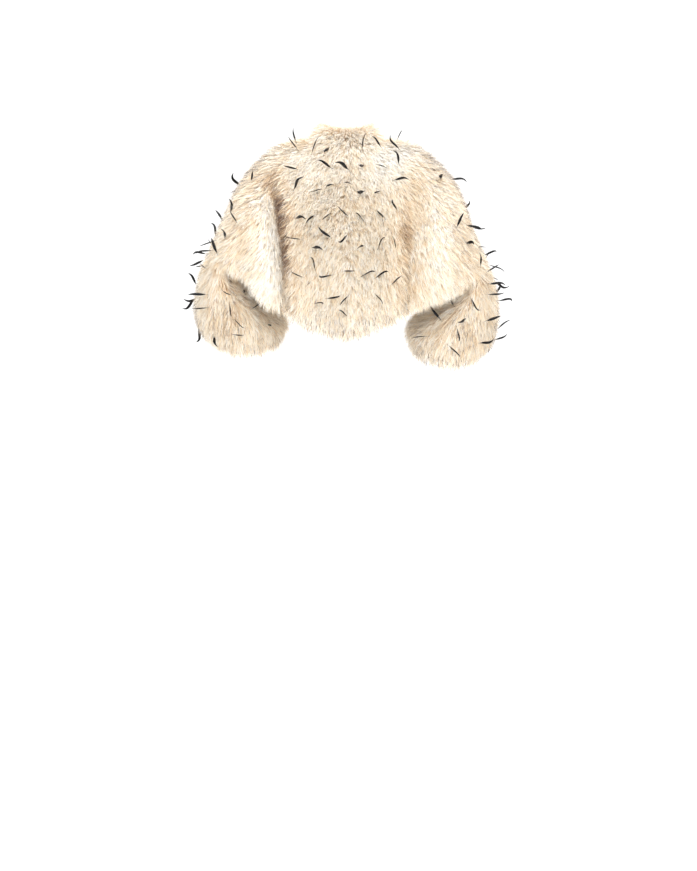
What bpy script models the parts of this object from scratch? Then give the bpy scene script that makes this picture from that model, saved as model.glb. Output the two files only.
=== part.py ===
"""A cropped bolero in long cream pile with slim black feathers, worn open on a general figure.

Metres, +Z up. The wearer faces -Y, so the back of the bolero faces +Y and the left
sleeve is on +X. The origin is at the nape, on the inside of the collar's upper edge.

The whole garment is one run of sections, from the left cuff over the shoulders to the
right cuff. A section starts at its crown, on the shoulder or the outside of the arm, and
goes down the back (angles above 0) and down the front (angles below 0). It is open at
the hem over the body, and closes to a ring at the elbow, where the sleeve's tube begins.
"""
import math
import random

import bpy
import bmesh
from mathutils import Vector

for leftover in list(bpy.data.objects):
    bpy.data.objects.remove(leftover, do_unlink=True)

MM = 0.001

# Cloth and pile together, as one wall.
WALL = 28 * MM
LIP = 11 * MM             # how far a free edge's pile rounds past the cloth's edge
LIP_OPENING = 220 * MM    # a hem narrower than this has a smaller lip
SEAM_GAP = 0.3 * MM
SEAM_STATION = 0.003      # half a sleeve seam's gap, in stations: about 0.2 mm

# The sections, in millimetres and degrees.
#   crown_x, crown_z    the section's top, on the outline seen from behind
#   edge_x, edge_z      the back hem, or the underside where the section is a ring
#   middle_y            where the crown lies from back to front
#   back, front         how far the section reaches behind and in front of middle_y
#   back_open           angle at which the back hem cuts the section, 180 where it is a ring
#   front_open          the same for the front hem
#   front_round         2 is an ellipse; less is flatter across the chest
#   tilt                how much lower the back of the section hangs than its crown
COLUMNS = ("name", "crown_x", "crown_z", "edge_x", "edge_z", "middle_y", "back", "front",
           "back_open", "front_open", "front_round", "tilt")
SECTIONS = [dict(zip(COLUMNS, row)) for row in (
    ("left cuff",        332, -502,  154, -508, -125, 106, 104, 180, 180, 2.0, 32),
    ("left forearm",     368, -476,  137, -458, -118, 126, 118, 180, 180, 2.0, 28),
    ("left under elbow", 380, -427,  164, -429, -106, 136, 124, 180, 180, 2.0, 18),
    ("left elbow",       372, -374,  212, -400,  -94, 136, 128, 180, 180, 2.0,  8),
    ("left sleeve join", 357, -323,  247, -372,  -86, 132, 130, 180, 180, 2.0,  2),
    ("left upper arm",   329, -268,  260, -351,  -80, 134, 134, 107, 118, 1.9,  0),
    ("left sleeve",      294, -198,  232, -362,  -75, 142, 144, 112, 117, 1.8,  0),
    ("left shoulder",    239,  -95,  188, -424,  -70, 152, 160, 117, 117, 1.7,  0),
    ("left armhole",     168,  -29,  138, -464,  -65, 156, 178, 121, 118, 1.6,  0),
    ("left yoke",        124,  -14,  103, -486,  -63, 159, 186, 123, 119, 1.5,  0),
    ("left neck",         84,   -3,   72, -500,  -62, 161, 190, 125, 118, 1.5,  0),
    ("left front edge",   42,   22,   38, -512,  -62, 162, 191, 126, 113, 1.5,  0),
    ("centre back",        0,   34,    0, -517,  -62, 162, 191, 127, 110, 1.5,  0),
    ("right front edge", -42,   22,  -38, -511,  -62, 162, 191, 126, 113, 1.5,  0),
    ("right neck",       -84,   -3,  -74, -496,  -62, 161, 190, 125, 118, 1.5,  0),
    ("right yoke",      -124,  -13, -107, -480,  -63, 159, 186, 123, 119, 1.5,  0),
    ("right armhole",   -168,  -25, -142, -461,  -65, 156, 178, 121, 118, 1.6,  0),
    ("right shoulder",  -250, -101, -200, -428,  -70, 152, 160, 117, 117, 1.7,  0),
    ("right sleeve",    -302, -221, -240, -404,  -76, 142, 144, 112, 117, 1.8,  0),
    ("right upper arm", -338, -293, -273, -382,  -82, 134, 134, 107, 118, 1.9,  0),
    ("right sleeve join", -365, -353, -260, -402, -88, 132, 130, 180, 180, 2.0, 2),
    ("right elbow",     -378, -408, -218, -431,  -96, 136, 128, 180, 180, 2.0,  8),
    ("right under elbow", -380, -458, -176, -444, -108, 136, 124, 180, 180, 2.0, 18),
    ("right forearm",   -368, -508, -142, -476, -120, 126, 118, 180, 180, 2.0, 28),
    ("right cuff",      -332, -538, -156, -532, -127, 106, 104, 180, 180, 2.0, 32),
)]
STATION = {row["name"]: number for number, row in enumerate(SECTIONS)}

# Soft folds, each a straight trough between two places on the sections. A depth below
# zero is a ridge. Station numbers are places in the table above.
#   width and depth in millimetres
FOLD_COLUMNS = ("name", "from_station", "from_angle", "to_station", "to_angle", "width", "depth")
FOLDS = [dict(zip(FOLD_COLUMNS, row)) for row in (
    ("left armhole groove",   7.85,  52,  8.05, 112, 22,  26),
    ("left sleeve ridge",     7.20,  55,  7.05, 106, 30, -17),
    ("left elbow hollow",     4.60,  92,  3.70, 118, 24,   8),
    ("left elbow ridge",      6.40,  62,  5.30,  86, 28, -10),
    ("left cuff trough",      0.40,  62,  3.20,  84, 20,   9),
    ("left inner trough",     0.30, 118,  2.60, 132, 18,   8),
    ("left front groove",     7.90, -48,  8.05, -104, 24, 18),
    ("left front ridge",      7.00, -55,  6.60, -100, 30, -12),
    ("left front trough",     0.40, -60,  3.00, -92, 22,   9),
    ("back upper hollow",    11.10,  48, 12.90,  48, 34,   6),
    ("back middle ridge",    11.60,  75, 12.30, 110, 46,  -7),
    ("right armhole groove", 16.15,  52, 15.90, 112, 26,  18),
    ("right sleeve ridge",   17.10,  52, 17.50, 100, 32, -16),
    ("right elbow hollow",   19.40,  92, 20.30, 118, 24,   7),
    ("right elbow ridge",    17.90,  62, 18.80,  86, 28,  -9),
    ("right cuff trough",    23.60,  66, 20.90,  86, 20,   9),
    ("right inner trough",   23.70, 116, 21.50, 130, 18,   8),
    ("right front groove",   16.10, -48, 15.95, -104, 24, 18),
    ("right front ridge",    17.00, -55, 17.40, -100, 30, -12),
    ("right front trough",   23.60, -62, 21.00, -92, 22,   9),
)]
STATION_MM = 62           # about how far apart two stations are
ANGLE_MM = 3.2            # about how long a degree is on a section

# The neck hole, seen from above, is an oval between the two neck stations.
NECK_BACK = 88 * MM       # how far it reaches behind the middle
NECK_FRONT = 90 * MM
COLLAR_RISE = (("left front edge", 24), ("left neck", 22), ("centre back", 31),
               ("right neck", 22), ("right front edge", 24))

RIM = ((0.2, 0.92), (0.8, 0.92))   # a free edge's round: share of the wall, share of the lip

# The collar's section, over its top from the outside to the inside of the neck edge.
#   edge      which side of the wall the place is measured from
#   inwards   millimetres towards the neck
#   rise      share of the collar's height
COLLAR_COLUMNS = ("edge", "inwards", "rise")
COLLAR_SECTION = [dict(zip(COLLAR_COLUMNS, row)) for row in (
    ("outer",  1, 0.55),
    ("outer",  8, 1.00),
    ("outer", 21, 0.95),
    ("inner", 15, 0.85),
    ("inner", 13, 0.10),
)]
COLLAR_AROUND = 2 + len(COLLAR_SECTION) + len(RIM)   # points round the collar's section
ROWS = 14                 # faces from the shoulder to a hem
BODY_STEPS = 2            # stations are halved away from the neck hole
NECK_STEPS = 6            # stations from the centre back to the neck's side

# Feathers on their tapes.
TAPE_WIDTH = 3 * MM
TAPE_THICK = 1.2 * MM
TAPE_CLEAR = 0.7 * MM     # above the wall, so that the flat tape clears its ridges
FEATHER_LENGTH = (27 * MM, 37 * MM)
FEATHER_LEAN = (38, 56)   # degrees from straight up
FEATHER_BEND = 4.5 * MM
FEATHER_MIDDLE = 0.55     # where along it the feather bends
FEATHER_TAPER = 0.72
FEATHER_SEED = 2386
FEATHER_SPACING = (0.15, 0.85)  # where in its share of the tape a feather may stand

CREAM = (0.86, 0.78, 0.64)
BLACK = (0.018, 0.017, 0.018)
PILE_ROUGHNESS = 0.9
FEATHER_ROUGHNESS = 0.5
SHARP_ANGLE = 50          # degrees between faces, past which an edge is shaded sharp


def smooth(before, start, end, after, share):
    """The value a share of the way from start to end, on a curve through all four."""
    return 0.5 * (2 * start + (end - before) * share
                  + (2 * before - 5 * start + 4 * end - after) * share ** 2
                  + (3 * start - before - 3 * end + after) * share ** 3)


def section(station):
    """The named sizes of the section at a station, whole or between two rows."""
    last = len(SECTIONS) - 1
    first = min(int(station), last - 1)
    near = [SECTIONS[min(max(first + step, 0), last)] for step in (-1, 0, 1, 2)]
    return {key: smooth(*[row[key] for row in near], station - first) for key in COLUMNS[1:]}


def fold_depth(station, angle):
    """How far the folds push the wall inwards at a place, in metres."""
    depth = 0.0
    for fold in FOLDS:
        start = Vector((fold["from_station"] * STATION_MM, fold["from_angle"] * ANGLE_MM))
        end = Vector((fold["to_station"] * STATION_MM, fold["to_angle"] * ANGLE_MM))
        place = Vector((station * STATION_MM, angle * ANGLE_MM))
        along = (place - start).dot(end - start) / (end - start).length_squared
        nearest = start.lerp(end, min(max(along, 0.0), 1.0))
        distance = (place - nearest).length
        depth += fold["depth"] * MM * math.exp(-(distance / fold["width"]) ** 2)
    return depth


def arch(value, roundness):
    """A sine or cosine, flattened where roundness is below 2, with its sign kept."""
    return math.copysign(abs(value) ** (2 / roundness), value)


def section_point(station, angle, inset):
    """A point on the section at an angle in degrees, moved in from the pile's surface."""
    row = section(station)
    crown = Vector((row["crown_x"], 0, row["crown_z"]))
    edge = Vector((row["edge_x"], 0, row["edge_z"]))
    back_open = math.radians(min(row["back_open"], 180))
    reach = (crown - edge).length / (1 - math.cos(back_open))
    up = (crown - edge).normalized()
    centre = crown - up * reach
    turn = math.radians(angle)
    roundness = 2.0 if angle >= 0 else row["front_round"]
    depth = row["back"] if angle >= 0 else row["front"]
    inwards = inset + fold_depth(station, angle)
    point = centre * MM + up * (reach * MM - inwards) * arch(math.cos(turn), roundness)
    point.y = row["middle_y"] * MM + (depth * MM - inwards) * arch(math.sin(turn), roundness)
    point.z -= row["tilt"] * MM * math.sin(turn)
    return point


def hem_angle(station, side):
    """The angle where the hem cuts a section: side is 1 for the back and -1 for the front."""
    return side * min(section(station)["back_open" if side > 0 else "front_open"], 180)


def neck_angle(station, side):
    """The angle where a section starts: at the neck hole's edge, or at the shoulder seam."""
    middle = STATION["centre back"]
    share = (station - middle) / (STATION["left neck"] - middle)
    if abs(share) >= 1:
        return 0.0
    row = section(station)
    hole = (NECK_BACK if side > 0 else NECK_FRONT) * math.sqrt(1 - share ** 2)
    depth = row["back" if side > 0 else "front"] * MM
    roundness = 2.0 if side > 0 else row["front_round"]
    return side * math.degrees(math.asin((hole / depth) ** (roundness / 2)))


def panel_grids(stations, side):
    """Outer and inner points of a back (side 1) or a front (side -1), a list for each station."""
    grids = []
    for inset in (0.0, WALL):
        grid = []
        for station in stations:
            start = neck_angle(station, side)
            end = hem_angle(station, side)
            column = [section_point(station, start + (end - start) * row / ROWS, inset)
                      for row in range(ROWS + 1)]
            if start == 0:
                column[0].y += side * SEAM_GAP / 2
            grid.append(column)
        grids.append(grid)
    return grids


def sleeve_grids(stations):
    """Outer and inner points of a sleeve: each station runs from the front hem to the back hem."""
    grids = []
    for inset in (0.0, WALL):
        grid = []
        for station in stations:
            limits = {side: abs(hem_angle(station, side)) for side in (-1, 1)}
            angles = [limits[1 if row >= 0 else -1] * row / ROWS for row in range(-ROWS, ROWS + 1)]
            grid.append([section_point(station, angle, inset) for angle in angles])
        grids.append(grid)
    return grids


def way_out(grid, i, j, lips, closed):
    """How far a free edge's round stands out of the panel at a rim point, zero at a seam.

    A hem's round dies away where the hem closes into the ring of the sleeve.
    """
    out = Vector()
    opening = (grid[i][0] - grid[i][-1]).length
    lip = LIP * min(opening / LIP_OPENING, 1) if i not in closed else LIP
    if i == 0 and "start" in lips:
        out += (grid[0][j] - grid[1][j]).normalized()
    if i == len(grid) - 1 and "end" in lips:
        out += (grid[i][j] - grid[i - 1][j]).normalized()
    if i not in closed and j == 0 and "first" in lips:
        out += (grid[i][0] - grid[i][1]).normalized()
    if i not in closed and j == len(grid[0]) - 1 and "last" in lips:
        out += (grid[i][j] - grid[i][j - 1]).normalized()
    return out.normalized() * lip if out.length > 0 else out


def wall_mesh(outer, inner, lips, closed):
    """Points and faces of a wall between two grids. Stations in closed meet round the back."""
    points = []
    number = {}
    for layer, grid in (("outer", outer), ("inner", inner)):
        for i, column in enumerate(grid):
            for j, point in enumerate(column):
                if i in closed and j == len(column) - 1:
                    number[layer, i, j] = number[layer, i, 0]
                    continue
                number[layer, i, j] = len(points)
                points.append(point)
    faces = []
    sides = {}
    for i in range(len(outer) - 1):
        for j in range(len(outer[0]) - 1):
            corners = ((i, j), (i + 1, j), (i + 1, j + 1), (i, j + 1))
            faces.append([number["outer", *corner] for corner in corners])
            faces.append([number["inner", *corner] for corner in reversed(corners)])
            for a, b in zip(corners, corners[1:] + corners[:1]):
                edge = frozenset((number["outer", *a], number["outer", *b]))
                if edge in sides:
                    sides[edge] = None
                else:
                    sides[edge] = (a, b)
    rounds = {}
    for a, b in (ends for ends in sides.values() if ends):
        for i, j in (a, b):
            first = number["outer", i, j]
            if first in rounds:
                continue
            out = way_out(outer, i, j, lips, closed)
            rounds[first] = [first]
            for share, lip in RIM:
                rounds[first].append(len(points))
                points.append(outer[i][j].lerp(inner[i][j], share) + out * lip)
            rounds[first].append(number["inner", i, j])
        start, end = rounds[number["outer", *a]], rounds[number["outer", *b]]
        for step in range(len(RIM) + 1):
            faces.append([start[step], end[step], end[step + 1], start[step + 1]])
    return points, faces


def finish(name, points, faces, colour, roughness):
    """Make one closed object with its own material, its faces pointing out."""
    mesh = bpy.data.meshes.new(name)
    build = bmesh.new()
    vertices = [build.verts.new(point) for point in points]
    for face in faces:
        build.faces.new([vertices[index] for index in face])
    bmesh.ops.recalc_face_normals(build, faces=build.faces)
    bmesh.ops.triangulate(build, faces=build.faces, quad_method="SHORT_EDGE")
    if build.calc_volume(signed=True) < 0:
        bmesh.ops.reverse_faces(build, faces=build.faces)
    build.to_mesh(mesh)
    build.free()
    mesh.shade_smooth()
    mesh.set_sharp_from_angle(angle=math.radians(SHARP_ANGLE))
    material = bpy.data.materials.new(name)
    material.use_nodes = True
    shader = material.node_tree.nodes["Principled BSDF"]
    shader.inputs["Base Color"].default_value = (*colour, 1)
    shader.inputs["Roughness"].default_value = roughness
    shader.inputs["Metallic"].default_value = 0.0
    mesh.materials.append(material)
    item = bpy.data.objects.new(name, mesh)
    bpy.context.scene.collection.objects.link(item)
    return item


def neck_stations():
    """Stations across the neck hole, closer together at its sides, where it turns most."""
    middle = STATION["centre back"]
    half = middle - STATION["left neck"]
    turns = [math.radians(90 * step / NECK_STEPS) for step in range(-NECK_STEPS, NECK_STEPS + 1)]
    return [middle + half * math.sin(turn) for turn in turns]


def even_stations(start, end, steps):
    """Stations from one row to another, each interval in equal steps, without the last."""
    return [start + step / steps for step in range((end - start) * steps)]


def body_stations():
    """Stations of the back, from the left armhole to the right one."""
    left, right = STATION["left armhole"], STATION["right armhole"]
    left_neck, right_neck = STATION["left neck"], STATION["right neck"]
    middle = neck_stations()
    stations = even_stations(left, left_neck, BODY_STEPS) + middle
    stations += [station + 1 / BODY_STEPS for station in even_stations(right_neck, right, BODY_STEPS)]
    stations[0] += SEAM_STATION
    stations[-1] -= SEAM_STATION
    return stations


def sleeve_stations(cuff, join, armhole):
    """Stations of a sleeve from its cuff to its armhole, closer together above the join."""
    way = 1 if armhole > cuff else -1
    tube = [cuff + way * step / 2 for step in range(2 * abs(join - cuff))]
    opening = [join + way * step / 4 for step in range(5)]
    upper = [join + way * (1 + step / 2) for step in range(1, 2 * (abs(armhole - join) - 1))]
    return tube + opening + upper + [armhole - way * SEAM_STATION]


def tape_line(grid, inner, i, rows):
    """Points on either side of a grid line, with the way out of the wall, for a tape along it."""
    line = []
    for j in rows:
        here = grid[i][j]
        across = grid[i + 1][j] - grid[i - 1][j]
        down = grid[i][j + 1] - grid[i][j - 1]
        up = across.cross(down).normalized()
        if up.dot(here - inner[i][j]) < 0:
            up.negate()
        pair = []
        for beside in (grid[i - 1][j], grid[i + 1][j]):
            pair.append(here + (beside - here).normalized() * TAPE_WIDTH / 2)
        line.append((pair[0], pair[1], up))
    return line


def feather_mesh(line, count, draw):
    """A tape along a line with curved feathers whose roots are part of it."""
    sections = []
    cells = len(line) - 1
    places = {}
    for number in range(count):
        place = (number + draw.uniform(*FEATHER_SPACING)) * cells / count
        places.setdefault(int(place), []).append(place - int(place))
    roots = []
    for cell in range(cells):
        sections.append(line[cell])
        length = (line[cell + 1][0] - line[cell][0]).length
        half = TAPE_WIDTH / 2 / length
        for share in places.get(cell, [])[:1]:
            share = min(max(share, 3 * half), 1 - 3 * half)
            roots.append(len(sections))
            for cut in (share - half, share + half):
                sections.append([a.lerp(b, cut) for a, b in zip(line[cell], line[cell + 1])])
    sections.append(line[cells])
    points = []
    for left, right, up in sections:
        for lift in (TAPE_CLEAR, TAPE_CLEAR + TAPE_THICK):
            points.append(left + up * lift)
            points.append(right + up * lift)
    faces = [[0, 1, 3, 2], [4 * len(sections) - 4 + corner for corner in (0, 2, 3, 1)]]
    for number in range(len(sections) - 1):
        low = 4 * number
        high = low + 4
        faces.append([low, high, high + 1, low + 1])
        faces.append([low, low + 2, high + 2, high])
        faces.append([low + 1, high + 1, high + 3, low + 3])
        if number not in roots:
            faces.append([low + 2, low + 3, high + 3, high + 2])
    for number in roots:
        root = [4 * number + 2, 4 * number + 3, 4 * number + 7, 4 * number + 6]
        centre = sum((points[corner] for corner in root), Vector()) / 4
        up = sections[number][2].normalized()
        along = (points[root[3]] - points[root[0]]).normalized()
        side = up.cross(along)
        turn = draw.uniform(0, 2 * math.pi)
        lean = math.radians(draw.uniform(*FEATHER_LEAN))
        length = draw.uniform(*FEATHER_LENGTH)
        away = along * math.cos(turn) + side * math.sin(turn)
        way = up * math.cos(lean) + away * math.sin(lean)
        bend = away.cross(up) * draw.choice((-1, 1)) * FEATHER_BEND + up * FEATHER_BEND
        middle = centre + way * length * FEATHER_MIDDLE + bend
        ring = []
        for corner in root:
            ring.append(len(points))
            points.append(middle + (points[corner] - centre) * FEATHER_TAPER)
        tip = len(points)
        points.append(centre + way * length)
        for a, b, c, d in zip(root, root[1:] + root[:1], ring[1:] + ring[:1], ring):
            faces.append([a, b, c, d])
            faces.append([d, c, tip])
    return points, faces


def collar_rise(station):
    """How high the collar stands above the neck edge, in metres."""
    rows = [(STATION[name], rise) for name, rise in COLLAR_RISE]
    for (start, low), (end, high) in zip(rows, rows[1:]):
        if station <= end:
            share = max(station - start, 0) / (end - start)
            share = share * share * (3 - 2 * share)
            return (low + (high - low) * share) * MM
    return rows[-1][1] * MM


def collar_mesh(edge):
    """The stand collar on the neck edge, given as station, outer and inner point along it."""
    points = []
    for number, (station, outer, inner) in enumerate(edge):
        before = edge[max(number - 1, 0)][1]
        after = edge[min(number + 1, len(edge) - 1)][1]
        into = (after - before).cross(inner - outer).normalized()
        centre = Vector((0, section(station)["middle_y"] * MM, outer.z))
        if into.dot(centre - outer) < 0:
            into.negate()
        level = Vector((into.x, into.y, 0)).normalized()
        height = collar_rise(station)
        edges = {"outer": outer, "inner": inner}
        points.append(outer + into * SEAM_GAP)
        for place in COLLAR_SECTION:
            rise = Vector((0, 0, place["rise"] * height))
            points.append(edges[place["edge"]] + level * place["inwards"] * MM + rise)
        points.append(inner + into * SEAM_GAP)
        for share, _ in reversed(RIM):
            points.append(outer.lerp(inner, share) + into * SEAM_GAP)
    start_cap = list(range(COLLAR_AROUND))
    end_cap = [len(points) - 1 - corner for corner in range(COLLAR_AROUND)]
    faces = [start_cap, end_cap]
    for number in range(len(edge) - 1):
        for corner in range(COLLAR_AROUND):
            low = number * COLLAR_AROUND + corner
            beside = number * COLLAR_AROUND + (corner + 1) % COLLAR_AROUND
            faces.append([low, beside, beside + COLLAR_AROUND, low + COLLAR_AROUND])
    return points, faces


def make_walls():
    """Build the six sewn pieces and return their outer and inner grids by name."""
    body = body_stations()
    left_edge, right_edge = STATION["left front edge"], STATION["right front edge"]
    panels = {
        "back": (body, 1, {"last"}),
        "front_left": ([s for s in body if s <= left_edge + 1e-6], -1, {"last", "end"}),
        "front_right": ([s for s in body if s >= right_edge - 1e-6], -1, {"last", "start"}),
    }
    grids = {}
    for name, (stations, side, lips) in panels.items():
        grids[name] = panel_grids(stations, side)
        points, faces = wall_mesh(*grids[name], lips, closed=())
        finish(name, points, faces, CREAM, PILE_ROUGHNESS)
    make_collar({name: (stations, *grids[name]) for name, (stations, _, _) in panels.items()})
    sleeves = {
        "sleeve_left": ("left cuff", "left sleeve join", "left armhole"),
        "sleeve_right": ("right cuff", "right sleeve join", "right armhole"),
    }
    for name, rows in sleeves.items():
        cuff, join, armhole = [STATION[row] for row in rows]
        stations = sleeve_stations(cuff, join, armhole)
        grids[name] = sleeve_grids(stations)
        closed = [i for i, station in enumerate(stations) if abs(station - cuff) <= abs(join - cuff)]
        points, faces = wall_mesh(*grids[name], {"start", "first", "last"}, closed)
        finish(name, points, faces, CREAM, PILE_ROUGHNESS)
    return grids


def make_collar(panels):
    """Lay the collar along the neck edges of the left front, the back and the right front."""
    left_neck, right_neck = STATION["left neck"], STATION["right neck"]
    edge = []
    for name in ("front_left", "back", "front_right"):
        part = [(station, outer[0], inner[0]) for station, outer, inner in zip(*panels[name])
                if left_neck - 1e-6 <= station <= right_neck + 1e-6]
        if name == "front_left":
            part = part[::-1][:-1]
        if name == "front_right":
            part = part[::-1][1:]
        edge += part
    points, faces = collar_mesh(edge)
    finish("collar", points, faces, CREAM, PILE_ROUGHNESS)


# Tapes: the wall they lie on, which way they run, the line they follow there, the first and last
# crossing along it, and the feathers on each. A tape runs down a section, or along a row of them.
TAPE_COLUMNS = ("wall", "runs", "line", "first", "last", "feathers")
TAPES = [dict(zip(TAPE_COLUMNS, row)) for row in (
    ("back", "down", 2, 1, 12, 7),
    ("back", "down", 5, 2, 13, 7),
    ("back", "down", 8, 1, 12, 7),
    ("back", "down", 10, 2, 13, 7),
    ("back", "down", 12, 1, 12, 7),
    ("back", "down", 15, 2, 13, 7),
    ("back", "down", 18, 1, 12, 7),
    ("front_left", "down", 2, 2, 12, 6),
    ("front_right", "down", 6, 2, 12, 6),
    ("sleeve_left", "along", 4, 1, 7, 3),
    ("sleeve_left", "along", 8, 1, 16, 7),
    ("sleeve_left", "along", 12, 1, 17, 5),
    ("sleeve_left", "along", 15, 1, 17, 8),
    ("sleeve_left", "along", 18, 1, 17, 8),
    ("sleeve_left", "along", 21, 1, 7, 4),
    ("sleeve_left", "along", 21, 11, 16, 3),
    ("sleeve_left", "along", 24, 1, 7, 3),
    ("sleeve_right", "along", 4, 1, 7, 3),
    ("sleeve_right", "along", 8, 1, 16, 7),
    ("sleeve_right", "along", 12, 1, 17, 5),
    ("sleeve_right", "along", 15, 1, 17, 8),
    ("sleeve_right", "along", 18, 1, 17, 8),
    ("sleeve_right", "along", 21, 1, 7, 4),
    ("sleeve_right", "along", 21, 11, 16, 3),
    ("sleeve_right", "along", 24, 1, 7, 3),
)]


def make_feathers(grids):
    """Build the feather tapes on the walls."""
    draw = random.Random(FEATHER_SEED)
    made = {}
    for tape in TAPES:
        wall = tape["wall"]
        outer, inner = grids[wall]
        if tape["runs"] == "along":
            outer, inner = list(zip(*outer)), list(zip(*inner))
        line = tape_line(outer, inner, tape["line"], range(tape["first"], tape["last"] + 1))
        points, faces = feather_mesh(line, tape["feathers"], draw)
        made[wall] = made.get(wall, 0) + 1
        finish(f"feathers_{wall}_{made[wall]}", points, faces, BLACK, FEATHER_ROUGHNESS)


make_feathers(make_walls())
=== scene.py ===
# %% [markdown]
# # A cropped bolero in long cream fur, scattered with slim black feathers
#
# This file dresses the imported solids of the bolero. They already say where each sewn
# piece is: back, two fronts, two wide sleeves and a collar. What is missing is what the
# eye reads as fur: the backing cloth, a few hundred thousand hairs that lie down the
# garment, and black feathers that curve out of the pile. Each cell makes one thing and
# prints what it made. Lengths are in metres, or in millimetres times MM.

# %% Load the frame
import math
import random

import bpy
import bmesh
import numpy as np
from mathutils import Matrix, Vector


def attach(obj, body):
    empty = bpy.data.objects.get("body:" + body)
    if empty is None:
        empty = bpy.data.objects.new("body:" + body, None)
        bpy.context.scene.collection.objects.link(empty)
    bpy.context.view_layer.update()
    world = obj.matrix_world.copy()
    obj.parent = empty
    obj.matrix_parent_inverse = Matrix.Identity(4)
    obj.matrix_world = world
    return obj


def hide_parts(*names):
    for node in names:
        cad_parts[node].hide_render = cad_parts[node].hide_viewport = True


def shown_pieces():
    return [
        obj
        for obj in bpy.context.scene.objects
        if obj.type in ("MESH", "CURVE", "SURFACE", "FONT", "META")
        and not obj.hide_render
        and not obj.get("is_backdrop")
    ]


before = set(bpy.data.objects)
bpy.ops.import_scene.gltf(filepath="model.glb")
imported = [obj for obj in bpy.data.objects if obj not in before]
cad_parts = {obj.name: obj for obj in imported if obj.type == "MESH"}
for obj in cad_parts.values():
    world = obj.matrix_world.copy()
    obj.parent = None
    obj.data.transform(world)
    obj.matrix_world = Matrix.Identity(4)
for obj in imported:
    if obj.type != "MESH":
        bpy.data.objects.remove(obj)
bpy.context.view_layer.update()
MM = 0.001


# %% [markdown]
# ## Camera
#
# The photograph was taken straight from behind, from so far away that nothing looks
# steep. One pixel of it is 2.4 mm at the garment, and the lens makes the picture's width
# 697 pixels of that size.

# %% Camera
PICTURE_WIDTH, PICTURE_HEIGHT = 697, 871
PIXEL = 2.4 * MM
NAPE_AT = (346, 127)         # the pixel where the garment's origin is
CAMERA_AWAY = 4.6
SENSOR = 36.0


def link_object(name, data, material=None):
    """An object at the origin that shows this camera, lamp or mesh."""
    item = bpy.data.objects.new(name, data)
    bpy.context.scene.collection.objects.link(item)
    if material:
        data.materials.clear()
        data.materials.append(material)
    return item


camera_data = bpy.data.cameras.new("camera")
camera_data.sensor_fit = "HORIZONTAL"
camera_data.sensor_width = SENSOR
camera_data.lens = SENSOR * CAMERA_AWAY / (PICTURE_WIDTH * PIXEL)
camera = link_object("camera", camera_data)
camera.location = ((NAPE_AT[0] - PICTURE_WIDTH / 2) * PIXEL, CAMERA_AWAY,
                   (NAPE_AT[1] - PICTURE_HEIGHT / 2) * PIXEL)
camera.rotation_euler = (math.pi / 2, 0, math.pi)
bpy.context.scene.camera = camera
print(f"lens {camera_data.lens:.1f} mm at {CAMERA_AWAY} m")

# %% [markdown]
# ## Floor and light
#
# Pale fur shows its form only through soft shade, so the room is a white sky with one
# large lamp beside the camera, one above, and weaker ones in front and on each side. The
# floor is a wide white disc where the wearer's shoes would be.

# %% Floor and light
FLOOR_Z = -1.67
FLOOR_RADIUS = 14.0
SKY_STRENGTH = 1.22
LAMPS = (                    # name, place, what it points at, size in metres, watts
    ("key", (-0.4, 4.4, 1.5), (0, 0, -0.25), 1.8, 132),
    ("top", (0.1, 0.9, 3.2), (0, 0, -0.1), 2.0, 84),
    ("front_fill", (-1.8, -3.0, 1.8), (0, 0, -0.3), 2.4, 60),
    ("left_edge", (3.2, 0.6, 0.8), (0, 0, -0.3), 1.6, 8),
    ("right_edge", (-3.2, 0.9, 0.6), (0, 0, -0.3), 1.6, 8),
)

for name, place, target, size, watts in LAMPS:
    light = bpy.data.lights.new(name, "AREA")
    light.size, light.energy = size, watts
    lamp = link_object(name, light)
    lamp.location = place
    lamp.rotation_euler = (Vector(target) - Vector(place)).to_track_quat("-Z", "Y").to_euler()

world = bpy.data.worlds.new("studio")
world.use_nodes = True
world.node_tree.nodes["Background"].inputs["Color"].default_value = (1, 1, 1, 1)
world.node_tree.nodes["Background"].inputs["Strength"].default_value = SKY_STRENGTH
bpy.context.scene.world = world
bpy.context.scene.view_settings.view_transform = "Standard"

disc = bmesh.new()
bmesh.ops.create_circle(disc, cap_ends=True, segments=96, radius=FLOOR_RADIUS)
bmesh.ops.translate(disc, verts=disc.verts, vec=(0, 0, FLOOR_Z))
floor_mesh = bpy.data.meshes.new("floor")
disc.to_mesh(floor_mesh)
disc.free()
floor = link_object("floor", floor_mesh)
floor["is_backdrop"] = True
print("lamps:", len(LAMPS), "and a floor at", FLOOR_Z, "m")

# %% [markdown]
# ## A short way to write node graphs
#
# `Value` wraps a socket and overloads plus, minus, times and divide, so an expression
# adds its own Math nodes. Every other node comes from `Graph.add`, which takes the
# node's type, its settings and what goes into its sockets.

# %% Node graph helpers
class Value:
    """A socket that can be used in sums."""

    def __init__(self, graph, socket):
        self.graph, self.socket = graph, socket

    def maths(self, operation, other=0.0, other_first=False):
        pair = (other, self) if other_first else (self, other)
        settings = {"operation": operation}
        return self.graph.add("ShaderNodeMath", settings, dict(enumerate(pair)))[0]


def overload(operator, operation):
    """Let an operator add a Math node, with the value before it or after it."""
    setattr(Value, f"__{operator}__", lambda self, other: self.maths(operation, other))
    setattr(Value, f"__r{operator}__", lambda self, other: self.maths(operation, other, True))


for pair in (("add", "ADD"), ("sub", "SUBTRACT"), ("mul", "MULTIPLY"), ("truediv", "DIVIDE")):
    overload(*pair)


class Made:
    """A node that was added: made["Name"] or made[number] is one of its outputs."""

    def __init__(self, graph, node):
        self.graph, self.node = graph, node

    def __getitem__(self, name):
        return Value(self.graph, self.node.outputs[name])


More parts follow.
